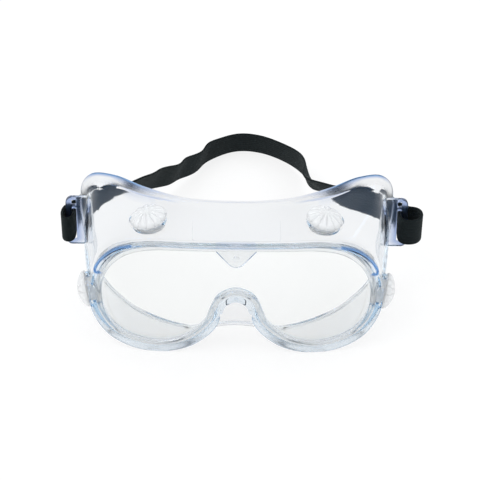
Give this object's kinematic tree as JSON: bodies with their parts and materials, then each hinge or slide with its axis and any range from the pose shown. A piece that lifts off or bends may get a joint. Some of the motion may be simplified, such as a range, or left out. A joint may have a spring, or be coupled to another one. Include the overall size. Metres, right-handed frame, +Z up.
{
  "type": "safety goggles",
  "caption": "Clear splash goggles: soft moulded frame holding a bent lens, snap-in shielded vents and a woven elastic head strap through side lugs.",
  "frame": {"origin": "on the table plane, at the middle of the whole object's width and depth, with the strap laid out behind", "axes": "+X to the right as seen from in front of the lens, +Y back towards the wearer and the strap, +Z up from the table"},
  "size_m": [0.1894, 0.18, 0.0758],
  "materials": {
    "frame_vinyl": "soft clear vinyl, glossy, cool blue tint in thick edges",
    "lens_clear": "clear polished polycarbonate",
    "vent_plastic": "natural translucent moulded plastic",
    "strap_webbing": "black woven elastic with lengthwise ribs"
  },
  "bodies": {
    "frame": {"frame": "frame_vinyl", "lens": "lens_clear", "vent_base_top_left": "vent_plastic", "vent_base_top_right": "vent_plastic", "vent_base_side_left": "vent_plastic", "vent_base_side_right": "vent_plastic", "strap_loop_left": "strap_webbing", "strap_loop_right": "strap_webbing"},
    "vent_cap_top_left": {"vent_cap_top_left": "vent_plastic"},
    "vent_cap_top_right": {"vent_cap_top_right": "vent_plastic"},
    "vent_cap_side_left": {"vent_cap_side_left": "vent_plastic"},
    "vent_cap_side_right": {"vent_cap_side_right": "vent_plastic"},
    "strap": {"strap": "strap_webbing"}
  },
  "joints": [
    {"name": "strap_swing", "type": "hinge", "parent": "frame", "child": "strap", "pos_m": [-0.0028, -0.0228, 0.041], "axis": [1, 0, 0], "range_deg": [0, 60]},
    {"name": "cap_spin_top_left", "type": "hinge", "parent": "frame", "child": "vent_cap_top_left", "pos_m": [-0.0468, -0.066, 0.0692], "axis": [-0.1961, 0, 0.9806], "continuous": true},
    {"name": "cap_spin_top_right", "type": "hinge", "parent": "frame", "child": "vent_cap_top_right", "pos_m": [0.0412, -0.066, 0.0692], "axis": [0.1961, 0, 0.9806], "continuous": true},
    {"name": "cap_spin_side_left", "type": "hinge", "parent": "frame", "child": "vent_cap_side_left", "pos_m": [-0.0783, -0.0703, 0.028], "axis": [-0.9811, -0.0981, -0.1668], "continuous": true},
    {"name": "cap_spin_side_right", "type": "hinge", "parent": "frame", "child": "vent_cap_side_right", "pos_m": [0.0727, -0.0703, 0.028], "axis": [0.9811, -0.0981, -0.1668], "continuous": true}
  ]
}
